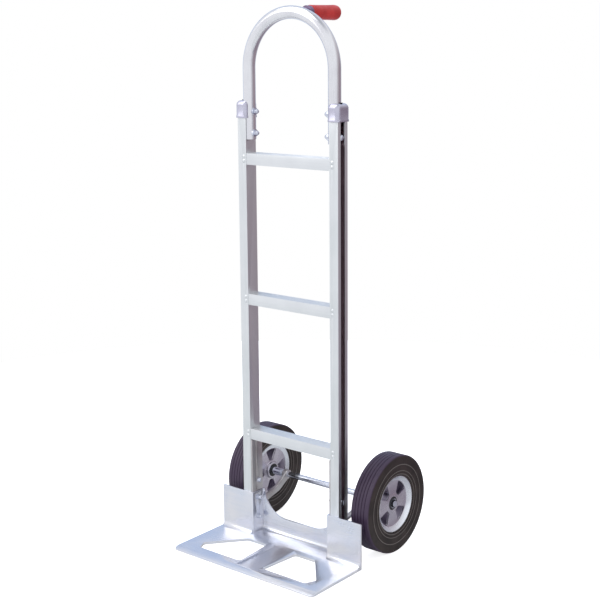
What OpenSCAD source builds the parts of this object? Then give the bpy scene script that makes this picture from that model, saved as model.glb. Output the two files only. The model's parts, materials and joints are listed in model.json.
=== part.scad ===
/* [Overall] */
// Height of the loop handle's centreline at its top
loop_top_z = 1360; // [1200:5:1500]
// Distance between the two rail centre planes
rail_spacing = 289.6; // [270:0.2:310]
// Width of the toe plate
nose_w = 457; // [420:1:500]
// Reach of the toe plate in front of the rails
nose_reach = 199; // [150:1:240]
// Wheel diameter
wheel_d = 254; // [240:1:260]

/* [Rails and rungs] */
// Rail width seen from the front
rail_w = 26; // [24:0.5:28]
// Rail depth seen from the side
rail_d = 38; // [37:0.5:41]
// Rail wall thickness
rail_t = 2.8; // [2:0.1:2.8]
// Top end of the rails above the floor
rail_top_z = 1126; // [1110:1:1135]
// Height of the top face of the lowest rung
rung_first_z = 294; // [285:1:300]
// Rise from one rung to the next
rung_pitch = 360.5; // [340:0.5:365]
// Height of a rung's front face
rung_h = 29; // [27:0.5:32]

/* [Loop handle] */
// Outside diameter of the loop tube
tube_d = 31.8; // [30:0.1:31.8]
// Wall thickness of the loop tube
tube_t = 2.4; // [1.8:0.1:3]
// Height of the tube's cut ends
loop_end_z = 1049; // [1045:1:1055]

/* [Rear grip] */
// Length of the moulded grip sleeve
grip_l = 112; // [100:1:180]
// Diameter of the grip at its far end
grip_d = 38; // [37:0.5:40]
// Gap between loop tube and grip sleeve
grip_gap = 58; // [30:1:70]

/* [Toe plate] */
// Height of the upright wings
wing_h = 120; // [118:1:130]
// Thickness of the wings and cheeks
wing_t = 4; // [3.5:0.1:4.2]
// Thickness of the toe plate base
base_t = 7; // [6:0.5:8]

/* [Wheels] */
// Distance from the rail front face back to the axle
axle_y = 147; // [145:1:160]
// Axle diameter
axle_d = 16; // [15:0.1:16]
// Width of a tyre
tyre_w = 54; // [50:1:56]
// Outer face of each wheel from the centre plane
wheel_face = 233; // [231:1:240]
// Hub rim diameter where the tyre starts
rim_d = 145; // [140:1:150]

/* [Hidden] */
$fn = 96;
rail_in = rail_spacing / 2 - rail_w / 2;        // inner edge of a rail
rail_out = rail_spacing / 2 + rail_w / 2;       // outer edge of a rail
rail_mid_y = rail_d / 2;
rail_foot_z = base_t + 1;
loop_r = rail_out - 7.9 - tube_d / 2;           // leg centre from the centre plane
head_in = loop_r + tube_d / 2 + 0.3;            // seat of the bolt heads in the outer slot
loop_arc_z = loop_top_z - loop_r;
axle_z = wheel_d / 2;
plate_t = 4.4;                                  // bracket plate between cheek and rail
cheek_in = rail_in - 0.1 - plate_t - 0.1 - wing_t;
bracket_in = cheek_in + wing_t + 0.1;
side_bolt_z = [150, 102, 49];
loop_bolt_z = [1119, 1065];
bolt_r = 4;
rivet_x = rail_in + 8;
rivet_r = 2.4;
rung_y0 = 0.5;
rung_d = rail_d - 2;
cap_wall = 6;
cap_low_z = 1103;
cap_top_z = 1146;
bearing_r = 17.45;
bearing_w = 11;
hub_inboard = 26;                               // hub barrel reach towards the frame
hub_outboard = 14;                              // hub barrel reach outwards
wheel_mid = wheel_face - tyre_w / 2;
seat_fit = 0.05;                                // running clearance on the axle

// lays a Z extrusion down along +X, profile (a, b) becoming (Y, Z)
module along_x(x0, x1) {
    translate([x0, 0, 0]) rotate([90, 0, 90]) linear_extrude(height = x1 - x0) children();
}
// lays a Z extrusion down along +Y, profile (a, b) becoming (X, Z)
module along_y(y0, y1) {
    translate([0, y1, 0]) rotate([90, 0, 0]) linear_extrude(height = y1 - y0) children();
}
// a round bar along X between two stations
module bar_x(x0, x1, r, y, z) {
    translate([x0, y, z]) rotate([0, 90, 0]) cylinder(h = x1 - x0, r = r);
}
// convex outline rounded by r about the given corner centres (counter-clockwise)
function edge_dir(p, i) = let (a = p[i], b = p[(i + 1) % len(p)]) atan2(b[1] - a[1], b[0] - a[0]);
function turn(a) = a < 0 ? a + 360 : a;
function rounded_pts(p, r, n = 6) = [for (i = [0 : len(p) - 1]) let (
    a0 = edge_dir(p, (i + len(p) - 1) % len(p)) - 90,
    da = turn(edge_dir(p, i) - 90 - a0)) for (k = [0 : n])
        p[i] + r * [cos(a0 + da * k / n), sin(a0 + da * k / n)]];
module rounded(pts, r) polygon(rounded_pts(pts, r));
module rounded_box(x0, x1, y0, y1, r) {
    rounded([[x0 + r, y0 + r], [x1 - r, y0 + r], [x1 - r, y1 - r], [x0 + r, y1 - r]], r);
}
module both_sides() {
    children();
    mirror([1, 0, 0]) children();
}

// ---- frame -------------------------------------------------------------
// C section extrusion: flat web inboard, deep outer slot between two lips
module rail_section() {
    translate([rail_in, 0]) square([rail_w, rail_t]);
    translate([rail_in, rail_d - rail_t]) square([rail_w, rail_t]);
    translate([rail_in, 1]) square([rail_t, rail_d - 2]);
    translate([rail_out - 2.4, 0]) square([2.4, 10.5]);
    translate([rail_out - 2.4, rail_d - 10.5]) square([2.4, 10.5]);
}
module rail() {
    difference() {
        translate([0, 0, rail_foot_z]) linear_extrude(height = rail_top_z - rail_foot_z)
            rail_section();
        for (z = side_bolt_z) bar_x(rail_in - 1, rail_in + rail_t + 1, bolt_r, rail_mid_y, z);
        // the web stops short of the top so that the loop tube lies between the flanges
        translate([rail_in - 1, rail_t, loop_end_z - 2])
            cube([rail_t + 2, rail_d - 2 * rail_t, rail_top_z - loop_end_z + 4]);
        // slots for the rung tongues
        for (i = [0 : 2]) translate([rail_in - 1, rail_t, rung_first_z + i * rung_pitch - rung_h + 2.1])
            cube([rail_t + 2, 2.9, rung_h - 4.8]);
        for (i = [0 : 2], dz = [9, 20])
            translate([rivet_x, -1, rung_first_z + i * rung_pitch - dz]) rotate([-90, 0, 0])
                cylinder(h = rail_t + 2, r = rivet_r);
    }
}

// hollow tread bar with a ribbed top and a tongue behind each rail flange
module rung(top, drain = false) {
    difference() {
        union() {
            along_x(-rail_in + 0.1, rail_in - 0.1) difference() {
                translate([rung_y0, top - rung_h]) square([rung_d, rung_h]);
                translate([rung_y0 + 2.4, top - rung_h + 2.4]) square([rung_d - 4.8, rung_h - 5.4]);
                for (i = [0 : 5]) translate([rung_y0 + 3.6 + i * 5.2, top - 0.8]) square([2.6, 2]);
            }
            both_sides() translate([rail_in - 12, rail_t + 0.1, top - rung_h + 2.4])
                cube([24, 2.4, rung_h - 5.4]);
        }
        both_sides() for (dz = [9, 20]) translate([rivet_x, -1, top - dz]) rotate([-90, 0, 0])
            cylinder(h = 12, r = rivet_r);
        if (drain) both_sides() translate([103, rail_mid_y, top - 4]) cylinder(h = 6, r = 3);
    }
}
module rivet() {
    rotate([-90, 0, 0]) cylinder(h = rail_t + 2.5, r = rivet_r);
    difference() {
        translate([0, 4.2, 0]) sphere(r = 6.6, $fn = 48);
        translate([-8, 0, -8]) cube([16, 16, 16]);
    }
    translate([0, rail_t + 2.5, 0]) rotate([-90, 0, 0]) cylinder(h = 1.6, r = 3.8);
}
module all_rivets() color("gainsboro") both_sides() for (i = [0 : 2], dz = [9, 20])
    translate([rivet_x, 0, rung_first_z + i * rung_pitch - dz]) rivet();

// ---- rail caps -----------------------------------------------------------
module cap_block() {
    x0 = rail_in - cap_wall;
    x1 = rail_out + cap_wall;
    intersection() {
        translate([0, 0, cap_low_z]) linear_extrude(height = cap_top_z - cap_low_z)
            rounded_box(x0, x1, -cap_wall, rail_d + cap_wall, 5);
        along_y(-10, rail_d + 10) union() {
            rounded_box(x0, x1, cap_low_z, cap_top_z, 11);
            translate([x0, cap_low_z]) square([x1 - x0, 20]);
        }
        along_x(x0 - 5, x1 + 5) union() {
            rounded_box(-cap_wall, rail_d + cap_wall, cap_low_z, cap_top_z, 11);
            translate([-cap_wall, cap_low_z]) square([rail_d + 2 * cap_wall, 20]);
        }
    }
}
module rail_cap() {
    difference() {
        cap_block();
        translate([rail_in, 0, cap_low_z - 1]) cube([rail_w, rail_d, rail_top_z - cap_low_z + 1]);
        translate([loop_r, rail_mid_y, cap_low_z - 1]) cylinder(h = 80, r = tube_d / 2);
        translate([0, rail_mid_y - tube_d / 2, cap_low_z - 1]) cube([loop_r, tube_d, 80]);
        translate([rail_out - 4, rail_mid_y, cap_top_z - 6]) cylinder(h = 10, r = 1.9);
    }
}
module cap_screw() {
    translate([rail_out - 4, rail_mid_y, cap_top_z - 6]) cylinder(h = 6, r = 1.9);
    translate([rail_out - 4, rail_mid_y, cap_top_z]) cylinder(h = 1.8, r = 3.4);
}

// ---- loop handle -----------------------------------------------------------
module tube_ring(r_in) {
    translate([loop_r, 0]) difference() {
        circle(r = tube_d / 2);
        circle(r = r_in);
    }
}
module loop() {
    difference() {
        union() {
            translate([0, rail_mid_y, loop_arc_z]) rotate([90, 0, 0])
                rotate_extrude(angle = 180, $fn = 180) tube_ring(tube_d / 2 - tube_t);
            both_sides() translate([0, rail_mid_y, loop_end_z])
                linear_extrude(height = loop_arc_z - loop_end_z) tube_ring(tube_d / 2 - tube_t);
        }
        both_sides() for (z = loop_bolt_z)
            bar_x(loop_r - 30, loop_r + 30, bolt_r + 0.15, rail_mid_y, z);
    }
}
nut_seat = loop_r - tube_d / 2 - 2.2;
module loop_bolt(z) {
    bar_x(nut_seat - 7, head_in, bolt_r, rail_mid_y, z);
    difference() {
        translate([head_in - 5, rail_mid_y, z]) sphere(r = 8.6, $fn = 48);
        translate([head_in - 20, rail_mid_y - 12, z - 12]) cube([20, 24, 24]);
    }
}
module saddle(z) {
    difference() {
        bar_x(nut_seat, nut_seat + 6.4, 9.5, rail_mid_y, z);
        translate([loop_r, rail_mid_y, z - 20]) cylinder(h = 40, r = tube_d / 2);
        bar_x(nut_seat - 5, nut_seat + 20, bolt_r, rail_mid_y, z);
    }
}
// domed nut, open side towards +X, seat at the origin
module dome_nut() {
    difference() {
        union() {
            rotate([0, -90, 0]) cylinder(h = 5.6, r = 7.2, $fn = 6);
            intersection() {
                translate([-5.6, 0, 0]) sphere(r = 5.6, $fn = 48);
                translate([-20, -8, -8]) cube([20, 16, 16]);
            }
        }
        rotate([0, -90, 0]) translate([0, 0, -1]) cylinder(h = 8, r = bolt_r);
    }
}

// ---- rear grip -----------------------------------------------------------
grip_y = rail_mid_y + tube_d / 2 + grip_gap;
module stub() {
    y0 = rail_mid_y;
    difference() {
        union() {
            translate([0, y0, loop_top_z]) rotate([-90, 0, 0])
                cylinder(h = tube_d / 2 + grip_gap + grip_l - 8, r = 11);
            // stop collar in front of the sleeve
            translate([0, grip_y - 12.3, loop_top_z]) rotate([-90, 0, 0]) cylinder(h = 12, r = 16.8);
        }
        translate([0, y0 - 1, loop_top_z]) rotate([-90, 0, 0]) cylinder(h = 300, r = 8.6);
        translate([0, rail_mid_y, loop_arc_z]) rotate([90, 0, 0])
            rotate_extrude($fn = 180) translate([loop_r, 0]) circle(r = tube_d / 2);
    }
}
module weld_bead() {
    difference() {
        translate([0, rail_mid_y + tube_d / 2 - 4, loop_top_z]) rotate([-90, 0, 0])
            cylinder(h = 6.4, r = 13.5);
        translate([0, rail_mid_y - 1, loop_top_z]) rotate([-90, 0, 0]) cylinder(h = 60, r = 11);
        translate([0, rail_mid_y, loop_arc_z]) rotate([90, 0, 0])
            rotate_extrude($fn = 180) translate([loop_r, 0]) circle(r = tube_d / 2);
    }
}
module grip() {
    translate([0, grip_y, loop_top_z]) rotate([-90, 0, 0]) rotate_extrude($fn = 96)
        polygon([[11, 0], [16.6, 0], [17.6, 1.4], [18.1, 12], [18.1, 50], [18.4, grip_l - 40],
            [grip_d / 2, grip_l - 18], [grip_d / 2 - 0.6, grip_l - 8], [grip_d / 2 - 2.6, grip_l - 3],
            [grip_d / 2 - 5.6, grip_l], [0, grip_l], [0, grip_l - 8], [11, grip_l - 8]]);
}

// ---- toe plate -----------------------------------------------------------
window_pts = [[46, -148], [168, -148], [176, -130], [107, -47], [55, -47]];
module nose_outline() {
    r = 12;
    w = nose_w / 2;
    rounded([[-w + r, -nose_reach + r], [w - r, -nose_reach + r], [w - r, -r], [-w + r, -r]], r);
    translate([-w, -20]) square([nose_w, 20]);
    translate([-cheek_in - wing_t, -1]) square([2 * (cheek_in + wing_t), rail_d + 1 + wing_t]);
}
dip_r = 70;
dip_x = cheek_in - 75;
dip_pts = concat([for (k = [0 : 12]) [dip_x + dip_r * sin(90 - k * 7.5), 121 - dip_r * cos(90 - k * 7.5)]],
    [for (k = [0 : 12]) [-dip_x - dip_r * sin(k * 7.5), 121 - dip_r * cos(k * 7.5)]]);
module centre_plate() {
    w = cheek_in + wing_t;
    along_y(rail_d, rail_d + wing_t) polygon(concat([[w, wing_h]], [for (q = dip_pts)
        [q[0], min(q[1], wing_h)]], [[-w, wing_h], [-w, 0], [w, 0]]));
}
// inside corner fillet filling the quarter towards (-a, +b) of its corner
module cove(r) polygon(concat([[0, 0]], [for (k = [0 : 8])
    [-r + r * cos(k * 11.25), r - r * sin(k * 11.25)]]));
module nose() {
    w = nose_w / 2;
    difference() {
        union() {
            intersection() {
                linear_extrude(height = base_t) difference() {
                    nose_outline();
                    rounded(window_pts, 9);
                    mirror([1, 0]) rounded(window_pts, 9);
                }
                along_x(-w, w) polygon([[-nose_reach, 0], [rail_d + wing_t, 0], [rail_d + wing_t, base_t],
                    [-nose_reach + 18, base_t], [-nose_reach, 2.6]]);
            }
            both_sides() {
                along_y(-wing_t, 0) union() {
                    rounded_box(cheek_in, w, 0, wing_h, 3);
                    translate([cheek_in, 0]) square([w - cheek_in, 10]);
                }
                along_x(cheek_in, cheek_in + wing_t) translate([-wing_t, 0])
                    square([rail_d + 2 * wing_t, wing_h]);
                along_x(cheek_in + 3, w - 2) translate([-wing_t, base_t]) cove(14);
            }
            centre_plate();
            along_x(-cheek_in, cheek_in) translate([rail_d, base_t]) cove(14);
        }
        along_x(-31, 31) polygon([[-176, base_t + 2], [-176, base_t], [-166, base_t - 3.2],
            [-34, base_t - 3.2], [-22, base_t], [-22, base_t + 2]]);
        both_sides() for (z = [side_bolt_z[1], side_bolt_z[2]])
            bar_x(cheek_in - 1, cheek_in + wing_t + 1, bolt_r, rail_mid_y, z);
    }
}

// ---- wheel brackets and side fasteners -----------------------------------
boss_out = bracket_in + plate_t + 8;
module bracket() {
    difference() {
        union() {
            along_x(bracket_in, bracket_in + plate_t) union() {
                translate([0.6, base_t + 2]) square([rail_d - 0.6, rung_first_z - rung_h - base_t - 4]);
                polygon([[rail_d - 1, 66], [63, 80], [86, 86], [axle_y - 37, axle_z - 35],
                    [axle_y - 11, axle_z - 19], [axle_y + 3, axle_z - 11], [axle_y - 7, axle_z + 10],
                    [axle_y - 29, axle_z - 9], [95, 104], [75, 99], [rail_d - 1, 96]]);
            }
            along_x(bracket_in - 2.4, bracket_in) translate([15, wing_h + 2])
                square([rail_d - 15, rung_first_z - rung_h - wing_h - 4]);
            bar_x(bracket_in - 2, boss_out, 12, axle_y, axle_z);
            along_x(bracket_in + plate_t - 1, bracket_in + plate_t + 6)
                polygon([[rail_d + 1, 84], [63, 88], [axle_y - 39, axle_z - 27],
                    [axle_y - 9, axle_z - 6], [axle_y - 12, axle_z - 1], [axle_y - 43, axle_z - 21],
                    [63, 94], [rail_d + 1, 91]]);
        }
        bar_x(0, 300, axle_d / 2, axle_y, axle_z);
        for (z = side_bolt_z) bar_x(cheek_in - 9, rail_in + 2, bolt_r, rail_mid_y, z);
    }
}
side_nut_x = [bracket_in - 2.4, cheek_in, cheek_in];
module side_bolt(i) {
    z = side_bolt_z[i];
    bar_x(side_nut_x[i] - 7, rail_in + rail_t, bolt_r, rail_mid_y, z);
    // long shoulder bearing on the web, head at the mouth of the slot
    bar_x(rail_in + rail_t, head_in, 6, rail_mid_y, z);
    translate([head_in, rail_mid_y, z]) rotate([0, 90, 0]) cylinder(h = 4.6, r = 8, $fn = 6);
}
module side_nut(i) translate([side_nut_x[i], rail_mid_y, side_bolt_z[i]]) dome_nut();

// ---- axle and wheels ------------------------------------------------------
spacer_in = boss_out;
bearing_in = wheel_mid - hub_inboard;
bearing_out = wheel_mid + hub_outboard;
axle_end = bearing_out + 7;
module axle_bar() {
    difference() {
        bar_x(-axle_end, axle_end, axle_d / 2, axle_y, axle_z);
        both_sides() difference() {
            bar_x(bearing_out + 3, bearing_out + 4.6, axle_d, axle_y, axle_z);
            bar_x(bearing_out + 2, bearing_out + 6, axle_d / 2 - 1, axle_y, axle_z);
        }
    }
}
module tube_x(x0, x1, r_out, r_in) difference() {
    bar_x(x0, x1, r_out, axle_y, axle_z);
    bar_x(x0 - 1, x1 + 1, r_in, axle_y, axle_z);
}
module on_axle() translate([wheel_mid, axle_y, axle_z]) rotate([0, 90, 0]) children();
module tyre() {
    R = wheel_d / 2;
    h = tyre_w / 2;
    ri = rim_d / 2;
    on_axle() rotate_extrude($fn = 144) difference() {
        polygon([[ri, -h + 4], [ri + 6, -h + 1.5], [ri + 16, -h - 0.5], [R - 20, -h + 0.5],
            [R - 8, -h], [R - 2.8, -h + 0.5], [R - 0.8, -h + 1.7], [R, -h + 3.6], [R, h - 3.6],
            [R - 0.8, h - 1.7], [R - 2.8, h - 0.5], [R - 8, h], [R - 20, h - 0.5], [ri + 16, h + 0.5], [ri + 6, h - 1.5], [ri, h - 4]]);
        for (x = [-11.2, -4.2, 2.8, 9.8]) translate([R - 2.2, x - 0.7]) square([3, 2.8]);
    }
}
// hub of two spoked discs on one barrel and rim; turn places the first window
module hub_windows(turn, z0, z1) {
    r = rim_d / 2;
    for (k = [0 : 3]) rotate(k * 90 + turn) translate([0, 0, z0]) linear_extrude(height = z1 - z0)
        rounded([[30, -5.5], [r - 19, -17.5], [r - 16, 0], [r - 19, 17.5], [30, 5.5]], 3);
}
module hub(turn) {
    r = rim_d / 2;
    on_axle() difference() {
        rotate_extrude($fn = 120) polygon([[12, bearing_w - hub_inboard], [bearing_r, bearing_w - hub_inboard],
            [bearing_r, -hub_inboard], [22, -hub_inboard], [23, -19], [r - 11.5, -19], [r - 2, -23],
            [r, -23], [r, 23], [r - 2, 23], [r - 12.5, 13], [23, 13], [22, hub_outboard],
            [bearing_r, hub_outboard], [bearing_r, hub_outboard - bearing_w], [12, hub_outboard - bearing_w]]);
        rotate_extrude($fn = 120) polygon([[22.5, -15], [r - 4.5, -15], [r - 4.5, 5], [r - 9.5, 9], [22.5, 9]]);
        hub_windows(turn, 0, 30);
        hub_windows(turn, -30, -10);
    }
}
module bearing_pair() for (x0 = [bearing_in + 1, bearing_out - bearing_w])
    tube_x(x0, x0 + bearing_w - 1, bearing_r, axle_d / 2 + seat_fit);
module seal_pair() for (x0 = [bearing_in, bearing_out - 1]) tube_x(x0, x0 + 1, bearing_r, 10.5);

// ---- node switches ---------------------------------------------------------
color("silver") mirror([1, 0, 0]) rail();  // left_rail
color("silver") rail();  // right_rail
color("silver") rung(rung_first_z + 2 * rung_pitch, true);  // top_rung
color("silver") rung(rung_first_z + rung_pitch);  // middle_rung
color("silver") rung(rung_first_z);  // bottom_rung
all_rivets();  // rung_rivets
color("lightsteelblue") mirror([1, 0, 0]) rail_cap();  // left_rail_cap
color("lightsteelblue") rail_cap();  // right_rail_cap
color("dimgray") both_sides() cap_screw();  // cap_screws
color("gainsboro") loop();  // loop_handle
color("gray") both_sides()  // handle_bolts
    for (z = loop_bolt_z) loop_bolt(z);
color("gray") both_sides()  // handle_washers
    for (z = loop_bolt_z) saddle(z);
color("gray") both_sides()  // handle_nuts
    for (z = loop_bolt_z) translate([nut_seat, rail_mid_y, z]) dome_nut();
color("gainsboro") stub();  // grip_stub
color("firebrick") grip();  // rear_grip
color("silver") weld_bead();  // grip_weld
color("lightgray") nose();  // nose_plate
color("tan") mirror([1, 0, 0]) bracket();  // left_wheel_bracket
color("tan") bracket();  // right_wheel_bracket
color("gray") both_sides() for (i = [0 : 2]) side_bolt(i);  // frame_bolts
color("gray") both_sides() for (i = [0 : 2]) side_nut(i);  // frame_nuts
color("lightgray") axle_bar();  // axle
color("gray") both_sides()  // axle_spacers
    tube_x(spacer_in, bearing_in - 0.3, 10.5, axle_d / 2);
color("gray") both_sides()  // axle_washers
    tube_x(bearing_out + 0.4, bearing_out + 2.8, 12.5, axle_d / 2);
color("dimgray") both_sides()  // axle_retainers
    tube_x(bearing_out + 3, bearing_out + 4.6, 10.5, axle_d / 2 - 1);
color("#2b2a2c") mirror([1, 0, 0]) tyre();  // left_tyre
color("#2b2a2c") tyre();  // right_tyre
color("lightgray") mirror([1, 0, 0]) hub(0);  // left_hub
color("lightgray") hub(45);  // right_hub
color("gray") mirror([1, 0, 0]) bearing_pair();  // left_wheel_bearings
color("gray") bearing_pair();  // right_wheel_bearings
color("#202020") mirror([1, 0, 0]) seal_pair();  // left_bearing_seals
color("#202020") seal_pair();  // right_bearing_seals
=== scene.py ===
import json
from math import cos, pi, radians, sin

import bpy
from mathutils import Matrix, Vector

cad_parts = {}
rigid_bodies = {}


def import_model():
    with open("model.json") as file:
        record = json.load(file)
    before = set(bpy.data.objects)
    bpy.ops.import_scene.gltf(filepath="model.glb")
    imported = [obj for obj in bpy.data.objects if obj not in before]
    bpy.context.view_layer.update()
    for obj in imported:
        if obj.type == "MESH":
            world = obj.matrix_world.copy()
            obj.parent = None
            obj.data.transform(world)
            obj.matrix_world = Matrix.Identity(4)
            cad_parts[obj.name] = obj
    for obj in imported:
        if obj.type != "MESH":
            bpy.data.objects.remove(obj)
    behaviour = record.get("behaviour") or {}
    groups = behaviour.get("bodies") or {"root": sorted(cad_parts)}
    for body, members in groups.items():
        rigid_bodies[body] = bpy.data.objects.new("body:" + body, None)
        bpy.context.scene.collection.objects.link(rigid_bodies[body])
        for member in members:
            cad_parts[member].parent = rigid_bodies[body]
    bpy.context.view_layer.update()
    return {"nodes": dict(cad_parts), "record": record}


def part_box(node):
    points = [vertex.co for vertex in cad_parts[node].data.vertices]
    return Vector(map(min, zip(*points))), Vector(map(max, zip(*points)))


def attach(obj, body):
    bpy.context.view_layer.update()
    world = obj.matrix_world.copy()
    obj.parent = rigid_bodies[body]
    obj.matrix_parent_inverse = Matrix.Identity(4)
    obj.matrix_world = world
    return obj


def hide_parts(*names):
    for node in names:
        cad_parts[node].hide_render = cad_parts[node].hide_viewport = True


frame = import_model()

MM = 0.001
record = frame["record"]
slot_of = {part["node"]: part["material_slot"] for part in record["subparts"]}
body_of = {node: body for body, nodes in record["behaviour"]["bodies"].items() for node in nodes}

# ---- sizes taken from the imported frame, in metres -------------------------------
axle_low, axle_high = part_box("axle")
AXLE_Y = (axle_low.y + axle_high.y) / 2
AXLE_Z = (axle_low.z + axle_high.z) / 2
tyre_low, tyre_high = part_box("right_tyre")
WHEEL_X = (tyre_low.x + tyre_high.x) / 2
WHEEL_R = (tyre_high.z - tyre_low.z) / 2
RIM_R = (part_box("right_hub")[1].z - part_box("right_hub")[0].z) / 2
loop_low, loop_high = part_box("loop_handle")
LOOP_Y = (loop_low.y + loop_high.y) / 2
TUBE_R = (loop_high.y - loop_low.y) / 2
LEG_X = loop_high.x - TUBE_R
ARC_Z = loop_high.z - TUBE_R - LEG_X
cap_low, cap_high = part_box("right_rail_cap")
rail_low, rail_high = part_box("right_rail")
# radii of the side-wall rings that get painted highlights
SIDE_RING_HIGHLIGHTS = ((103.1, 0.9), (86.7, 0.8), (78.4, 0.8))  # middle radius, half width, in mm
grip_low, grip_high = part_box("rear_grip")


# ---- finishes ---------------------------------------------------------------------
def linear(hex_code):
    """sRGB hex colour turned to linear RGBA."""
    parts = [int(hex_code[i:i + 2], 16) / 255 for i in (1, 3, 5)]
    return [c / 12.92 if c <= 0.04045 else ((c + 0.055) / 1.055) ** 2.4 for c in parts] + [1.0]


def put(mat, kind, values=None, feeds=None, **settings):
    """Adds one node with its settings, input values and incoming links."""
    node = mat.node_tree.nodes.new(kind)
    for key, value in settings.items():
        setattr(node, key, value)
    for key, value in (values or {}).items():
        node.inputs[key].default_value = value
    for key, source in (feeds or {}).items():
        mat.node_tree.links.new(source, node.inputs[key])
    return node


def new_finish(name, metallic, roughness, **sockets):
    """An empty node material with its shader set; returns (material, shader)."""
    mat = bpy.data.materials.new(name)
    mat.use_nodes = True
    shader = mat.node_tree.nodes["Principled BSDF"]
    shader.inputs["Metallic"].default_value = metallic
    shader.inputs["Roughness"].default_value = roughness
    for key, value in sockets.items():
        shader.inputs[key.replace("_", " ")].default_value = value
    return mat, shader


def band(mat, source, low, high, from_low=0.35, from_high=0.65):
    """Stretches one range of a value onto another, clamped at both ends."""
    return put(mat, "ShaderNodeMapRange", {"From Min": from_low, "From Max": from_high,
               "To Min": low, "To Max": high}, {"Value": source}).outputs["Result"]


def object_place(mat):
    """Object coordinates: metres in the shared frame."""
    return put(mat, "ShaderNodeTexCoord").outputs["Object"]


def split(mat):
    """The X and Y of a point, as two outputs."""
    parts = put(mat, "ShaderNodeSeparateXYZ", {}, {"Vector": object_place(mat)}).outputs
    return parts["X"], parts["Y"]


def size_of(mat, source):
    """A value without its sign, so that left and right are treated alike."""
    return put(mat, "ShaderNodeMath", {}, {0: source}, operation="ABSOLUTE").outputs[0]


def near(mat, source, middle, reach):
    """1 where the value is within reach of the middle, else 0."""
    return put(mat, "ShaderNodeMath", {1: middle, 2: reach}, {0: source},
               operation="COMPARE").outputs[0]


def off_axle(mat):
    """Distance from the axle's centre line."""
    offset = put(mat, "ShaderNodeVectorMath", {1: (0, AXLE_Y, AXLE_Z)}, {0: object_place(mat)},
                 operation="SUBTRACT").outputs["Vector"]
    radial = put(mat, "ShaderNodeVectorMath", {1: (0, 1, 1)}, {0: offset},
                 operation="MULTIPLY").outputs["Vector"]
    return put(mat, "ShaderNodeVectorMath", {}, {0: radial}, operation="LENGTH").outputs["Value"]


def recolour(mat, mask, hex_code):
    """Lays a second colour over the finish where the mask is 1."""
    base = mat.node_tree.nodes["Principled BSDF"].inputs["Base Color"]
    mixed = put(mat, "ShaderNodeMix", {"B": linear(hex_code)},
                {"Factor": mask, "A": base.links[0].from_socket}, data_type="RGBA")
    mat.node_tree.links.new(mixed.outputs["Result"], base)


def grained_metal(name, pale, deep, roughness, grain_mm, cloud_mm, stretch, bump_mm, spread=0.08):
    """Bare metal: long or even grain, soft clouding in tone, roughness that follows both."""
    mat, shader = new_finish(name, 1.0, roughness)
    place = object_place(mat)
    run = put(mat, "ShaderNodeMapping", {"Scale": stretch}, {"Vector": place}).outputs["Vector"]
    grain = put(mat, "ShaderNodeTexNoise", {"Scale": 1 / (grain_mm * MM), "Detail": 5.0,
                "Roughness": 0.6}, {"Vector": run}).outputs["Fac"]
    cloud = put(mat, "ShaderNodeTexNoise", {"Scale": 1 / (cloud_mm * MM), "Detail": 3.0},
                {"Vector": place}).outputs["Fac"]
    both = put(mat, "ShaderNodeMix", {"Factor": 0.35}, {"A": cloud, "B": grain},
               data_type="FLOAT").outputs["Result"]
    tone = put(mat, "ShaderNodeMix", {"A": linear(deep), "B": linear(pale)},
               {"Factor": band(mat, both, 0.0, 1.0)}, data_type="RGBA").outputs["Result"]
    mat.node_tree.links.new(tone, shader.inputs["Base Color"])
    mat.node_tree.links.new(band(mat, both, roughness + spread, roughness - spread),
                            shader.inputs["Roughness"])
    relief = put(mat, "ShaderNodeBump", {"Strength": 0.35, "Distance": bump_mm * MM},
                 {"Height": grain}).outputs["Normal"]
    mat.node_tree.links.new(relief, shader.inputs["Normal"])
    return mat


EVEN = (1, 1, 1)
# mill-finish extrusion: an even pale satin; the die leaves faint parallel lines, drawn 3 mm apart
rail_metal = grained_metal("mill_finish_extruded_aluminium_rail", "#EAECED", "#E0E3E4",
                           0.33, 3.0, 90, (1, 1, 0.02), 0.012, 0.04)
# inside the outer slot the web and flanges get painted shade, a dark mauve for the shadow deep in
# the channel
SLOT_HALF_DEPTH, SLOT_HALF_WIDTH = 10.3 * MM, 16.4 * MM
SLOT_X = (rail_low.x + rail_high.x) / 2 + 0.4 * MM
SLOT_Y = (rail_low.y + rail_high.y) / 2
along_x, along_y = split(rail_metal)
in_depth = near(rail_metal, size_of(rail_metal, along_x), SLOT_X, SLOT_HALF_DEPTH)
in_width = near(rail_metal, along_y, SLOT_Y, SLOT_HALF_WIDTH)
painted_slot_shade = put(rail_metal, "ShaderNodeMath", {}, {0: in_depth, 1: in_width},
                operation="MULTIPLY").outputs[0]
# painted shade: the slot mask darkens the rail colour to mauve
recolour(rail_metal, painted_slot_shade, "#8C737C")
# the rungs come off the same mill, their die lines running along them
rung_metal = grained_metal("mill_finish_extruded_aluminium_rung", "#EEF0F1", "#E4E6E8",
                           0.31, 3.0, 90, (0.02, 1, 1), 0.012, 0.04)
# drawn tube: smooth and bright, faintly warm, with the slightest rub marks along its length
tube_metal = grained_metal("drawn_aluminium_tube", "#F0F0F2", "#E2E1E5", 0.20, 3.0, 60,
                           (1, 1, 0.1), 0.006, 0.04)
# the stub and its collar, behind the loop, get a painted mauve shade
COLLAR_SHADE_START, COLLAR_SHADE_FULL = 72 * MM, 80 * MM
painted_collar_shade = band(tube_metal, split(tube_metal)[1], 0.0, 1.0, COLLAR_SHADE_START, COLLAR_SHADE_FULL)
# painted shade: the collar is mixed towards a darker mauve
recolour(tube_metal, painted_collar_shade, "#8F7C97")
# sand-blasted die casting: even fine pitting and a lavender grey
cap_metal = grained_metal("die_cast_aluminium_cap", "#D3D2E0", "#BFBCCD", 0.28, 1.6, 24, EVEN, 0.03,
                          0.05)
# toe plate casting, belt-finished across its width: neutral pale tone with broad soft clouding
toe_metal = grained_metal("belt_finished_cast_aluminium", "#F0EEF1", "#DDE2EE", 0.25, 4.0, 75,
                          (0.03, 1, 1), 0.006, 0.03)
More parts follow.
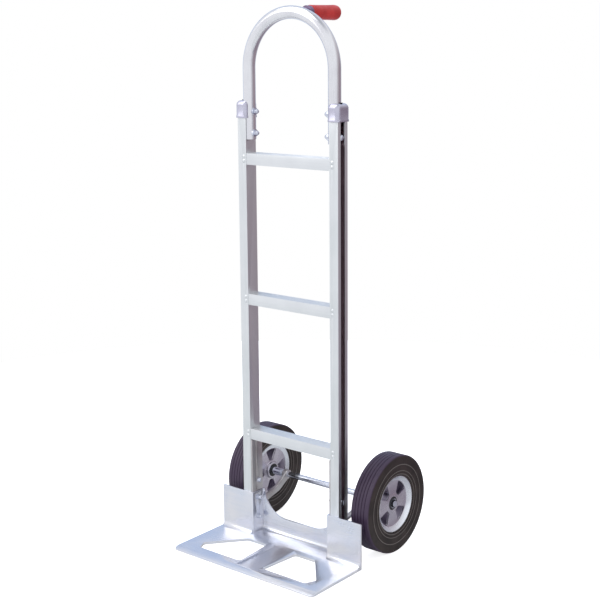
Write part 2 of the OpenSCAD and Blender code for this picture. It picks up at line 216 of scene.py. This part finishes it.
# sand-cast bracket: fine sand pits and a slightly warm grey
bracket_metal = grained_metal("sand_cast_aluminium_bracket", "#D2CFCF", "#BBB6B6", 0.36, 1.8, 30,
                              EVEN, 0.06, 0.05)
# die cast hub: bright machined-and-tumbled grey, the faintest lavender
hub_metal = grained_metal("die_cast_aluminium_hub", "#D8D4DB", "#C6C1CC", 0.28, 2.0, 26, EVEN, 0.01,
                          0.05)
# the coned lip gets a painted highlight, near white all round
LIP_START, LIP_FULL = RIM_R - 12.4 * MM, RIM_R - 11.4 * MM
painted_lip_highlight = band(hub_metal, off_axle(hub_metal), 0.0, 1.0, LIP_START, LIP_FULL)
# painted highlight: the lip band is mixed towards near white
recolour(hub_metal, painted_lip_highlight, "#F3F7FC")
# between its two discs the casting is painted a darker lavender grey as shade, and given a duller
# roughness
CAVITY_X, CAVITY_HALF, CAVITY_ROUGH = WHEEL_X - 3 * MM, 12.2 * MM, 0.62
inside = near(hub_metal, size_of(hub_metal, split(hub_metal)[0]), CAVITY_X, CAVITY_HALF)
# painted shade: the cavity colour is darker and more lavender than the hub
recolour(hub_metal, inside, "#B7AFBF")
sheen = hub_metal.node_tree.nodes["Principled BSDF"].inputs["Roughness"]
blasted = put(hub_metal, "ShaderNodeMix", {"B": CAVITY_ROUGH},
              {"Factor": inside, "A": sheen.links[0].from_socket}, data_type="FLOAT")
hub_metal.node_tree.links.new(blasted.outputs["Result"], sheen)
# zinc plating: bright, hard, faintly patchy
zinc_metal = grained_metal("bright_zinc_plated_steel", "#E4E7F0", "#C8CCDA", 0.16, 1.6, 14,
                           EVEN, 0.004, 0.04)
# black oxide screw heads: nearly black with a dull steel edge
dark_metal = grained_metal("black_oxide_steel", "#3C3B3E", "#232225", 0.42, 0.8, 6, EVEN, 0.02)


def moulded(name, pale, deep, roughness, grain_mm, cloud_mm, bump_mm, **sockets):
    """Moulded plastic or rubber: skin grain in the relief, slow change in tone."""
    mat, shader = new_finish(name, 0.0, roughness, **sockets)
    place = object_place(mat)
    grain = put(mat, "ShaderNodeTexNoise", {"Scale": 1 / (grain_mm * MM), "Detail": 4.0},
                {"Vector": place}).outputs["Fac"]
    cloud = put(mat, "ShaderNodeTexNoise", {"Scale": 1 / (cloud_mm * MM), "Detail": 3.0},
                {"Vector": place}).outputs["Fac"]
    tone = put(mat, "ShaderNodeMix", {"A": linear(deep), "B": linear(pale)},
               {"Factor": band(mat, cloud, 0.0, 1.0)}, data_type="RGBA").outputs["Result"]
    mat.node_tree.links.new(tone, shader.inputs["Base Color"])
    mat.node_tree.links.new(band(mat, cloud, roughness + 0.07, roughness - 0.07),
                            shader.inputs["Roughness"])
    relief = put(mat, "ShaderNodeBump", {"Strength": 0.4, "Distance": bump_mm * MM},
                 {"Height": grain}).outputs["Normal"]
    mat.node_tree.links.new(relief, shader.inputs["Normal"])
    return mat


# dip-moulded vinyl sleeve: strong red, satin, with a soft skin and a slight gloss over it
grip_vinyl = moulded("dip_moulded_red_vinyl", "#DE3B37", "#C62C29", 0.42, 1.2, 30, 0.06,
                     IOR=1.53, Coat_Weight=0.15, Coat_Roughness=0.3)
# solid rubber: near black, matt, dusty bloom in slow patches
tyre_rubber = moulded("solid_black_rubber_tyre", "#352A25", "#251D19", 0.5, 1.5, 40, 0.05,
                      IOR=1.5)
# the tread gets painted purple-grey light, the sheen it catches; the moulded side walls keep a
# brown-black
radius = off_axle(tyre_rubber)
painted_tread_light = band(tyre_rubber, radius, 0.0, 1.0, WHEEL_R - 4 * MM, WHEEL_R - 1.2 * MM)
# painted light: the tread band is mixed towards a purple-grey
recolour(tyre_rubber, painted_tread_light, "#43334A")
# the raised rings on the side wall get painted highlights, a paler grey on each ring
for ring_mm, half_mm in SIDE_RING_HIGHLIGHTS:
    recolour(tyre_rubber, near(tyre_rubber, radius, ring_mm * MM, half_mm * MM), "#77706C")
# bearing seal: smoother, blacker rubber
seal_rubber = moulded("moulded_nitrile_seal", "#1B1A1B", "#121112", 0.4, 0.8, 8, 0.03, IOR=1.52)

finish = {"rail_extrusion": rail_metal, "rung_extrusion": rung_metal, "cap_casting": cap_metal,
          "loop_tube": tube_metal, "grip_vinyl": grip_vinyl, "toe_casting": toe_metal,
          "bracket_casting": bracket_metal, "zinc_steel": zinc_metal, "dark_screw": dark_metal,
          "hub_casting": hub_metal, "tyre_rubber": tyre_rubber, "seal_rubber": seal_rubber}


# ---- making and placing pieces ------------------------------------------------------
def only(piece):
    """Selects this piece alone and makes it active."""
    for other in bpy.context.view_layer.objects:
        other.select_set(False)
    piece.select_set(True)
    bpy.context.view_layer.objects.active = piece


def edit(piece):
    only(piece)
    bpy.ops.object.mode_set(mode="EDIT")


def leave():
    bpy.ops.object.mode_set(mode="OBJECT")


def pick(piece, kind, test):
    """Goes into edit mode with just the vertices, edges or faces that pass the test chosen."""
    edit(piece)
    bpy.ops.mesh.select_mode(type=kind)
    bpy.ops.mesh.select_all(action="DESELECT")
    leave()
    mesh = piece.data
    if kind == "VERT":
        for vert in mesh.vertices:
            vert.select = test(vert.co)
    if kind == "EDGE":
        for edge in mesh.edges:
            edge.select = test(*[mesh.vertices[i].co for i in edge.vertices])
    if kind == "FACE":
        for face in mesh.polygons:
            face.select = test(face.center, face.normal)
    edit(piece)


def modify(piece, kind, **settings):
    """Adds a modifier and applies it."""
    only(piece)
    mod = piece.modifiers.new(kind.lower(), kind)
    for key, value in settings.items():
        setattr(mod, key, value)
    bpy.ops.object.modifier_apply(modifier=mod.name)


def soften(piece, width_mm, angle=32, segments=2):
    """Breaks the sharp edges, then smooths all but the real corners."""
    if width_mm:
        modify(piece, "BEVEL", width=width_mm * MM, segments=segments, limit_method="ANGLE",
               angle_limit=radians(angle), use_clamp_overlap=True, harden_normals=False)
    only(piece)
    bpy.ops.object.shade_smooth_by_angle(angle=radians(30))


def settle(piece, name, node):
    """Names a finished piece and ties it to the frame node it stands for."""
    only(piece)
    bpy.ops.object.transform_apply(location=True, rotation=True, scale=True)
    piece.name = piece.data.name = name
    piece.data.materials.clear()
    piece.data.materials.append(finish[slot_of[node]])
    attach(piece, body_of[node])
    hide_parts(node)


def untied(source):
    """A copy with its own mesh and none of the source's ties to the frame."""
    only(source)
    bpy.ops.object.duplicate()
    piece = bpy.context.object
    for key in [k for k in piece.keys() if k.startswith("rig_")]:
        del piece[key]
    return piece


def loose_copy(node):
    """An untied copy of a frame node, with doubled points and needless edges cleared."""
    piece = untied(frame["nodes"][node])
    piece.parent = None
    edit(piece)
    bpy.ops.mesh.select_all(action="SELECT")
    bpy.ops.mesh.remove_doubles(threshold=0.002 * MM)
    bpy.ops.mesh.dissolve_limited(angle_limit=radians(0.5))
    leave()
    return piece


def trimmed(node, width_mm, segments=2):
    """A clean copy of a frame node with its edges broken as a maker would."""
    piece = loose_copy(node)
    soften(piece, width_mm, segments=segments)
    settle(piece, node + "_piece", node)


def turned(stations, steps, axis, centre):
    """A turned ring or rod: one circle carried along an axis through (distance, radius) in mm.

    A list that ends where it starts makes a ring with a bore."""
    along = Vector([axis == "X", axis == "Y", 0])
    turn = {"X": (0, pi / 2, 0), "Y": (-pi / 2, 0, 0)}[axis]
    first = stations[0]
    bpy.ops.object.select_all(action="DESELECT")
    bpy.ops.mesh.primitive_circle_add(vertices=steps, radius=first[1] * MM, rotation=turn,
                                      location=Vector(centre) + along * first[0] * MM)
    piece = bpy.context.object
    only(piece)
    bpy.ops.object.transform_apply(location=True, rotation=True, scale=True)
    edit(piece)
    bpy.ops.mesh.select_all(action="SELECT")
    here = first
    for there in stations[1:]:
        bpy.ops.mesh.extrude_region_move(
            TRANSFORM_OT_translate={"value": along * (there[0] - here[0]) * MM})
        grow = there[1] / here[1]
        bpy.ops.transform.resize(value=[1.0 if a else grow for a in along],
                                 center_override=Vector(centre) + along * there[0] * MM)
        here = there
    bpy.ops.mesh.select_all(action="SELECT")
    bpy.ops.mesh.remove_doubles(threshold=0.01 * MM)
    bpy.ops.mesh.normals_make_consistent(inside=False)
    leave()
    soften(piece, 0)
    return piece


def cut(piece, *tools):
    """Takes each tool's volume out of the piece and clears the tool away."""
    for tool in tools:
        modify(piece, "BOOLEAN", operation="DIFFERENCE", object=tool, solver="EXACT")
        bpy.data.objects.remove(tool, do_unlink=True)


def block(low, high):
    """A box between two corners, in metres."""
    low, high = Vector(low), Vector(high)
    bpy.ops.object.select_all(action="DESELECT")
    bpy.ops.mesh.primitive_cube_add(size=1, location=(low + high) / 2)
    piece = bpy.context.object
    piece.scale = high - low
    only(piece)
    bpy.ops.object.transform_apply(location=True, rotation=True, scale=True)
    return piece


def rod(radius, low, high):
    """An upright round cutter between two end centres."""
    bpy.ops.object.select_all(action="DESELECT")
    low, high = Vector(low), Vector(high)
    bpy.ops.mesh.primitive_cylinder_add(vertices=96, radius=radius, depth=high.z - low.z,
                                        location=(low + high) / 2)
    piece = bpy.context.object
    only(piece)
    bpy.ops.object.transform_apply(location=True, rotation=True, scale=True)
    return piece


def copied(piece, shift=(0, 0, 0), flip=False):
    """A second piece with its own mesh, moved or mirrored across the centre plane."""
    twin = untied(piece)
    if flip:
        twin.scale = (-1, 1, 1)
    twin.location = shift
    bpy.ops.object.transform_apply(location=True, rotation=True, scale=True)
    if flip:
        edit(twin)
        bpy.ops.mesh.select_all(action="SELECT")
        bpy.ops.mesh.normals_make_consistent(inside=False)
        leave()
    return twin


# ---- castings, extrusions and fasteners: the frame's shapes with their edges broken -----
for node, width in [("left_rail", 0.5), ("right_rail", 0.5), ("top_rung", 0.4),
                    ("middle_rung", 0.4), ("bottom_rung", 0.4), ("nose_plate", 0.8),
                    ("left_wheel_bracket", 1.0), ("right_wheel_bracket", 1.0),
                    ("frame_nuts", 0.4), ("handle_nuts", 0.4), ("frame_bolts", 0.4)]:
    trimmed(node, width)
# the axle's ends are rounded over like a rivet, so they catch the light
trimmed("axle", 2.6, segments=5)
# the loop's bolts run out to the mouth of the slot, where their domed heads stand just proud
bolts = loose_copy("handle_bolts")
bolt_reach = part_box("handle_bolts")[1].x
HEAD_HEIGHT, HEAD_PROUD = 3.7 * MM, 1.0 * MM
run_out = rail_high.x + HEAD_PROUD - bolt_reach
for outward in (1, -1):
    pick(bolts, "VERT", lambda v: v.x * outward > bolt_reach - HEAD_HEIGHT)
    bpy.ops.transform.translate(value=(outward * run_out, 0, 0))
    leave()
soften(bolts, 0)
settle(bolts, "domed_loop_bolts", "handle_bolts")

# ---- tyres: solid rubber, five tread ribs, three raised rings on each side wall -----------
# half the section, from the tread's middle out and in: (distance from the middle, radius) in mm
tread = [(0, 127), (3.7, 127), (4.2, 124.6), (4.9, 124.6), (5.4, 127), (12.6, 127),
         (13.1, 124.6), (13.8, 124.6), (14.3, 127), (23.2, 127), (24.8, 126.5), (26.2, 124.8),
         (26.8, 122), (26.5, 112), (26.2, 105), (27.4, 104), (27.4, 102.2), (26.1, 101.2),
         (25.8, 95), (25.6, 88.6), (27, 87.5), (27, 85.9), (25.3, 84.8), (24.8, 80.2),
         (25.9, 79.2), (25.9, 77.6), (24.2, 76.6), (23.5, 74.6), (22.9, 73.2), (22.5, 72.6)]
ring = [(-x, r) for x, r in reversed(tread)] + tread[1:]
wheel_at = (WHEEL_X, AXLE_Y, AXLE_Z)
right_tyre = turned(ring + ring[:1], 144, "X", wheel_at)
left_tyre = copied(right_tyre, (-2 * WHEEL_X, 0, 0))
settle(right_tyre, "right_ribbed_tyre", "right_tyre")
settle(left_tyre, "left_ribbed_tyre", "left_tyre")

# ---- hubs: two spoked discs on one barrel, coned lip with a painted highlight, cavity between the discs with painted shade ---
# sections as (distance from the wheel's middle, radius) in mm
hub_profile = [(-26, 17.6), (-26, 21), (-25, 22), (-20, 23), (-19, 24.6), (-19, 59.2),
               (-19.8, 61.4), (-22.3, 69.4), (-23, 70.8), (-23, 72.4), (23, 72.4), (23, 70.9),
               (22.2, 70.1), (13.9, 60.9), (13, 58.8), (13, 25.2), (13.5, 23.6), (14, 22.4),
               (14, 17.6)]
hub_cavity = [(-15, 22.5), (-15, 68), (5, 68), (9, 63), (9, 22.5)]
# a window's outline as (distance from the axle, distance to one side) in mm
WINDOW = [(27, 7), (54, 20.5), (57.5, 17), (59.5, 0), (57.5, -17), (54, -20.5), (27, -7)]


def window_tool(turn_degrees, low, high):
    """A wedge cutter in the right wheel, a turn clockwise from the top seen from outside."""
    a = radians(turn_degrees)
    bpy.ops.object.select_all(action="DESELECT")
    bpy.ops.mesh.primitive_circle_add(vertices=len(WINDOW), radius=1, fill_type="NGON")
    tool = bpy.context.object
    for vert, (r, w) in zip(tool.data.vertices, WINDOW):
        vert.co = (WHEEL_X + low * MM, AXLE_Y + (r * sin(a) + w * cos(a)) * MM,
                   AXLE_Z + (r * cos(a) - w * sin(a)) * MM)
    edit(tool)
    bpy.ops.mesh.select_all(action="SELECT")
    bpy.ops.mesh.extrude_region_move(TRANSFORM_OT_translate={"value": ((high - low) * MM, 0, 0)})
    bpy.ops.mesh.select_all(action="SELECT")
    bpy.ops.mesh.normals_make_consistent(inside=False)
    leave()
    modify(tool, "BEVEL", width=2.6 * MM, segments=4, limit_method="ANGLE", angle_limit=radians(40))
    return tool


right_hub = turned(hub_profile + hub_profile[:1], 120, "X", wheel_at)
cut(right_hub, turned(hub_cavity + hub_cavity[:1], 120, "X", wheel_at),
    *[window_tool(45 + 90 * k, -30, 30) for k in range(4)])
edit(right_hub)
bpy.ops.mesh.select_all(action="SELECT")
bpy.ops.mesh.remove_doubles(threshold=0.01 * MM)
leave()
soften(right_hub, 0.7, 34, 2)
left_hub = copied(right_hub, flip=True)
edit(left_hub)
bpy.ops.mesh.select_all(action="SELECT")
bpy.ops.transform.rotate(value=pi / 4, orient_axis="X",
                         center_override=(-WHEEL_X, AXLE_Y, AXLE_Z))
leave()
settle(right_hub, "right_spoked_hub", "right_hub")
settle(left_hub, "left_spoked_hub", "left_hub")

# ---- loop handle: one tube, two legs and a half circle --------------------------------------
TUBE_WALL = 2.4 * MM
leg_foot = loop_low.z
bpy.ops.object.select_all(action="DESELECT")
bpy.ops.mesh.primitive_circle_add(vertices=64, radius=TUBE_R, location=(LEG_X, LOOP_Y, leg_foot))
loop = bpy.context.object
only(loop)
bpy.ops.object.transform_apply(location=True, rotation=True, scale=True)
edit(loop)
bpy.ops.mesh.select_all(action="SELECT")
bpy.ops.mesh.extrude_region_move(TRANSFORM_OT_translate={"value": (0, 0, ARC_Z - leg_foot)})
bpy.ops.mesh.spin(steps=72, angle=pi, center=(0, LOOP_Y, ARC_Z), axis=(0, 1, 0))
bpy.ops.mesh.extrude_region_move(TRANSFORM_OT_translate={"value": (0, 0, leg_foot - ARC_Z)})
bpy.ops.mesh.select_all(action="SELECT")
bpy.ops.mesh.remove_doubles(threshold=0.01 * MM)
bpy.ops.mesh.normals_make_consistent(inside=False)
leave()
modify(loop, "SOLIDIFY", thickness=TUBE_WALL, offset=-1, use_rim=True)
soften(loop, 0)
settle(loop, "bent_loop_tube", "loop_handle")

# ---- grip: dip-moulded sleeve with a rolled mouth, a slight swell and a domed end ---------
grip_length = (grip_high.y - grip_low.y) / MM
grip_r = (grip_high.z - grip_low.z) / 2 / MM
grip_profile = [(0.2, 11.1), (0, 11.8), (0, 15.6), (0.4, 16.8), (1.6, 17.8), (3.4, 18.2),
                (5.2, 17.8), (6.4, 17.3), (7.6, 17.7), (9.4, 18.0), (40, 18.1),
                (grip_length - 36, 18.4), (grip_length - 18, grip_r),
                (grip_length - 12, grip_r - 0.1), (grip_length - 8, grip_r - 0.6),
                (grip_length - 4.6, grip_r - 1.8), (grip_length - 2, grip_r - 3.8),
                (grip_length - 0.6, grip_r - 6.6), (grip_length - 0.1, grip_r - 10),
                (grip_length, 3), (grip_length, 0.01)]
grip = turned(grip_profile, 96, "Y", (0, grip_low.y, (grip_low.z + grip_high.z) / 2))
settle(grip, "red_grip_sleeve", "rear_grip")


# ---- rail caps: domed casting with a rolled lower edge, hollowed for rail and tube ------------
CAP_ROUND, CAP_ROLL, CAP_ROLL_HALF, TUBE_GAP = 12 * MM, 5 * MM, 0.8 * MM, 0.1 * MM


def cap_piece():
    """The right cap: bevelled block, narrowed above its rolled edge, with its bores cut out."""
    piece = block(cap_low, cap_high)
    top, roll = cap_high.z - 0.1 * MM, cap_low.z + CAP_ROLL
    pick(piece, "EDGE", lambda a, b: max(a.z, b.z) > top)
    bpy.ops.mesh.bevel(offset=CAP_ROUND, segments=8, affect="EDGES")
    for height in (roll - CAP_ROLL_HALF, roll + CAP_ROLL_HALF):
        bpy.ops.mesh.select_all(action="SELECT")
        bpy.ops.mesh.bisect(plane_co=(0, 0, height), plane_no=(0, 0, 1))
    leave()
    pick(piece, "VERT", lambda v: v.z > roll)
    bpy.ops.transform.resize(value=(0.955, 0.965, 1),
                             center_override=((cap_low.x + cap_high.x) / 2, LOOP_Y, 0))
    bpy.ops.mesh.select_all(action="SELECT")
    bpy.ops.mesh.normals_make_consistent(inside=False)
    leave()
    under, over = cap_low.z - 10 * MM, cap_high.z + 20 * MM
    cut(piece, block((rail_low.x, rail_low.y, under), (rail_high.x, rail_high.y, rail_high.z)),
        rod(TUBE_R + TUBE_GAP, (LEG_X, LOOP_Y, under), (LEG_X, LOOP_Y, over)),
        block((LEG_X - 40 * MM, LOOP_Y - TUBE_R - TUBE_GAP, under),
              (LEG_X, LOOP_Y + TUBE_R + TUBE_GAP, over)))
    soften(piece, 0.6, 40, 2)
    return piece


right_cap = cap_piece()
left_cap = copied(right_cap, flip=True)
settle(right_cap, "right_domed_cap", "right_rail_cap")
settle(left_cap, "left_domed_cap", "left_rail_cap")

for node, piece in frame["nodes"].items():
    piece.data.materials.clear()
    piece.data.materials.append(finish[slot_of[node]])

# ---- floor, light and camera -----------------------------------------------------
FLOOR_R, FLOOR_GLOW = 2.2, 0.8
DIM_SIDE = (0.5, 0.87, 0)  # the way the sheet falls off
bpy.ops.mesh.primitive_circle_add(vertices=96, radius=FLOOR_R, fill_type="NGON")
floor = bpy.context.object
floor.name = "studio_floor"
paper, paper_shader = new_finish("white_studio_paper", 0.0, 0.9, Emission_Strength=0.0)
paper_shader.inputs["Emission Color"].default_value = linear("#FFFFFF")
# the sheet looks white, and sends back less light on the dim side of the room
direct = put(paper, "ShaderNodeLightPath").outputs["Is Camera Ray"]
where = put(paper, "ShaderNodeTexCoord").outputs["Object"]
toward = put(paper, "ShaderNodeVectorMath", {1: DIM_SIDE}, {0: where},
             operation="DOT_PRODUCT").outputs["Value"]
dim = put(paper, "ShaderNodeMix", {"A": linear("#EDEEEC"), "B": linear("#988B94")},
          {"Factor": band(paper, toward, 0.0, 1.0, 0.15, 0.8)}, data_type="RGBA").outputs["Result"]
sheet = put(paper, "ShaderNodeMix", {"B": linear("#FAFAFA")}, {"Factor": direct, "A": dim},
            data_type="RGBA").outputs["Result"]
paper.node_tree.links.new(sheet, paper_shader.inputs["Base Color"])
glow = put(paper, "ShaderNodeMath", {1: FLOOR_GLOW}, {0: direct}, operation="MULTIPLY").outputs[0]
paper.node_tree.links.new(glow, paper_shader.inputs["Emission Strength"])
floor.data.materials.append(paper)

# which way the dim wall and the pale blue wall lie, seen from the truck
DIM_WALL, BLUE_WALL = (0.60, 0.70, -0.38), (-0.63, 0.76, 0.15)
world = bpy.data.worlds.new("soft_studio")
bpy.context.scene.world = world
world.use_nodes = True
sky = world.node_tree.nodes["Background"]
aim = put(world, "ShaderNodeTexCoord").outputs["Generated"]
away = put(world, "ShaderNodeVectorMath", {1: DIM_WALL}, {0: aim},
           operation="DOT_PRODUCT").outputs["Value"]
dusk = put(world, "ShaderNodeMapRange", {"From Min": 0.3, "From Max": 0.92}, {"Value": away})
rear = put(world, "ShaderNodeVectorMath", {1: BLUE_WALL}, {0: aim},
           operation="DOT_PRODUCT").outputs["Value"]
cool = put(world, "ShaderNodeMapRange", {"From Min": 0.55, "From Max": 0.95}, {"Value": rear})
# a pale blue wall behind on the left, a dim lavender brown one on the right
blue = put(world, "ShaderNodeMix", {"A": linear("#F1F3F8"), "B": linear("#C3D2EC")},
           {"Factor": cool.outputs["Result"]}, data_type="RGBA").outputs["Result"]
overhead = put(world, "ShaderNodeSeparateXYZ", {}, {"Vector": aim}).outputs["Z"]
high = put(world, "ShaderNodeMapRange", {"From Min": 0.8, "From Max": 0.97}, {"Value": overhead})
# a grey ceiling keeps flat tops readable from above
blue = put(world, "ShaderNodeMix", {"B": linear("#B4B9C2")},
           {"Factor": high.outputs["Result"], "A": blue}, data_type="RGBA").outputs["Result"]
room = put(world, "ShaderNodeMix", {"B": linear("#9A8D96")},
           {"Factor": dusk.outputs["Result"], "A": blue}, data_type="RGBA").outputs["Result"]
seen = put(world, "ShaderNodeLightPath").outputs["Is Camera Ray"]
view = put(world, "ShaderNodeMix", {"B": linear("#FFFFFF")}, {"Factor": seen, "A": room},
           data_type="RGBA").outputs["Result"]
world.node_tree.links.new(view, sky.inputs["Color"])
sky.inputs["Strength"].default_value = 1.0


def lamp(name, spot, target, size, watts):
    """A square soft light at a spot, aimed at a target."""
    light = bpy.data.lights.new(name, "AREA")
    light.size = size
    light.energy = watts
    rig = bpy.data.objects.new(name, light)
    rig.location = spot
    rig.rotation_euler = (Vector(target) - Vector(spot)).to_track_quat("-Z", "Y").to_euler()
    bpy.context.scene.collection.objects.link(rig)


lamp("key_softbox", (-2.2, -2.6, 3.2), (0, 0, 0.5), 2.6, 22)
lamp("top_softbox", (-0.9, -0.6, 3.5), (0, 0, 0.3), 2.0, 20)

LENS_MM, SENSOR_MM, SHIFT = 74.3556, 36, (0.0121, -0.0610)
CAMERA_AT = (1.92984, -2.33168, 1.31039)
YAW, PITCH, ROLL = radians(39.37), radians(10.53), radians(-0.53)
look = Vector((-sin(YAW) * cos(PITCH), cos(YAW) * cos(PITCH), -sin(PITCH)))
side = Vector((cos(YAW), sin(YAW), 0))
lift = side.cross(look)
across, upright = side * cos(ROLL) + lift * sin(ROLL), lift * cos(ROLL) - side * sin(ROLL)
camera_data = bpy.data.cameras.new("studio_camera")
camera_data.sensor_width = SENSOR_MM
camera_data.lens = LENS_MM
camera_data.shift_x, camera_data.shift_y = SHIFT
camera = bpy.data.objects.new("studio_camera", camera_data)
turn = Matrix((across, upright, -look)).transposed().to_4x4()
camera.matrix_world = Matrix.Translation(CAMERA_AT) @ turn
bpy.context.scene.collection.objects.link(camera)
bpy.context.scene.camera = camera
bpy.context.scene.view_settings.view_transform = "Standard"
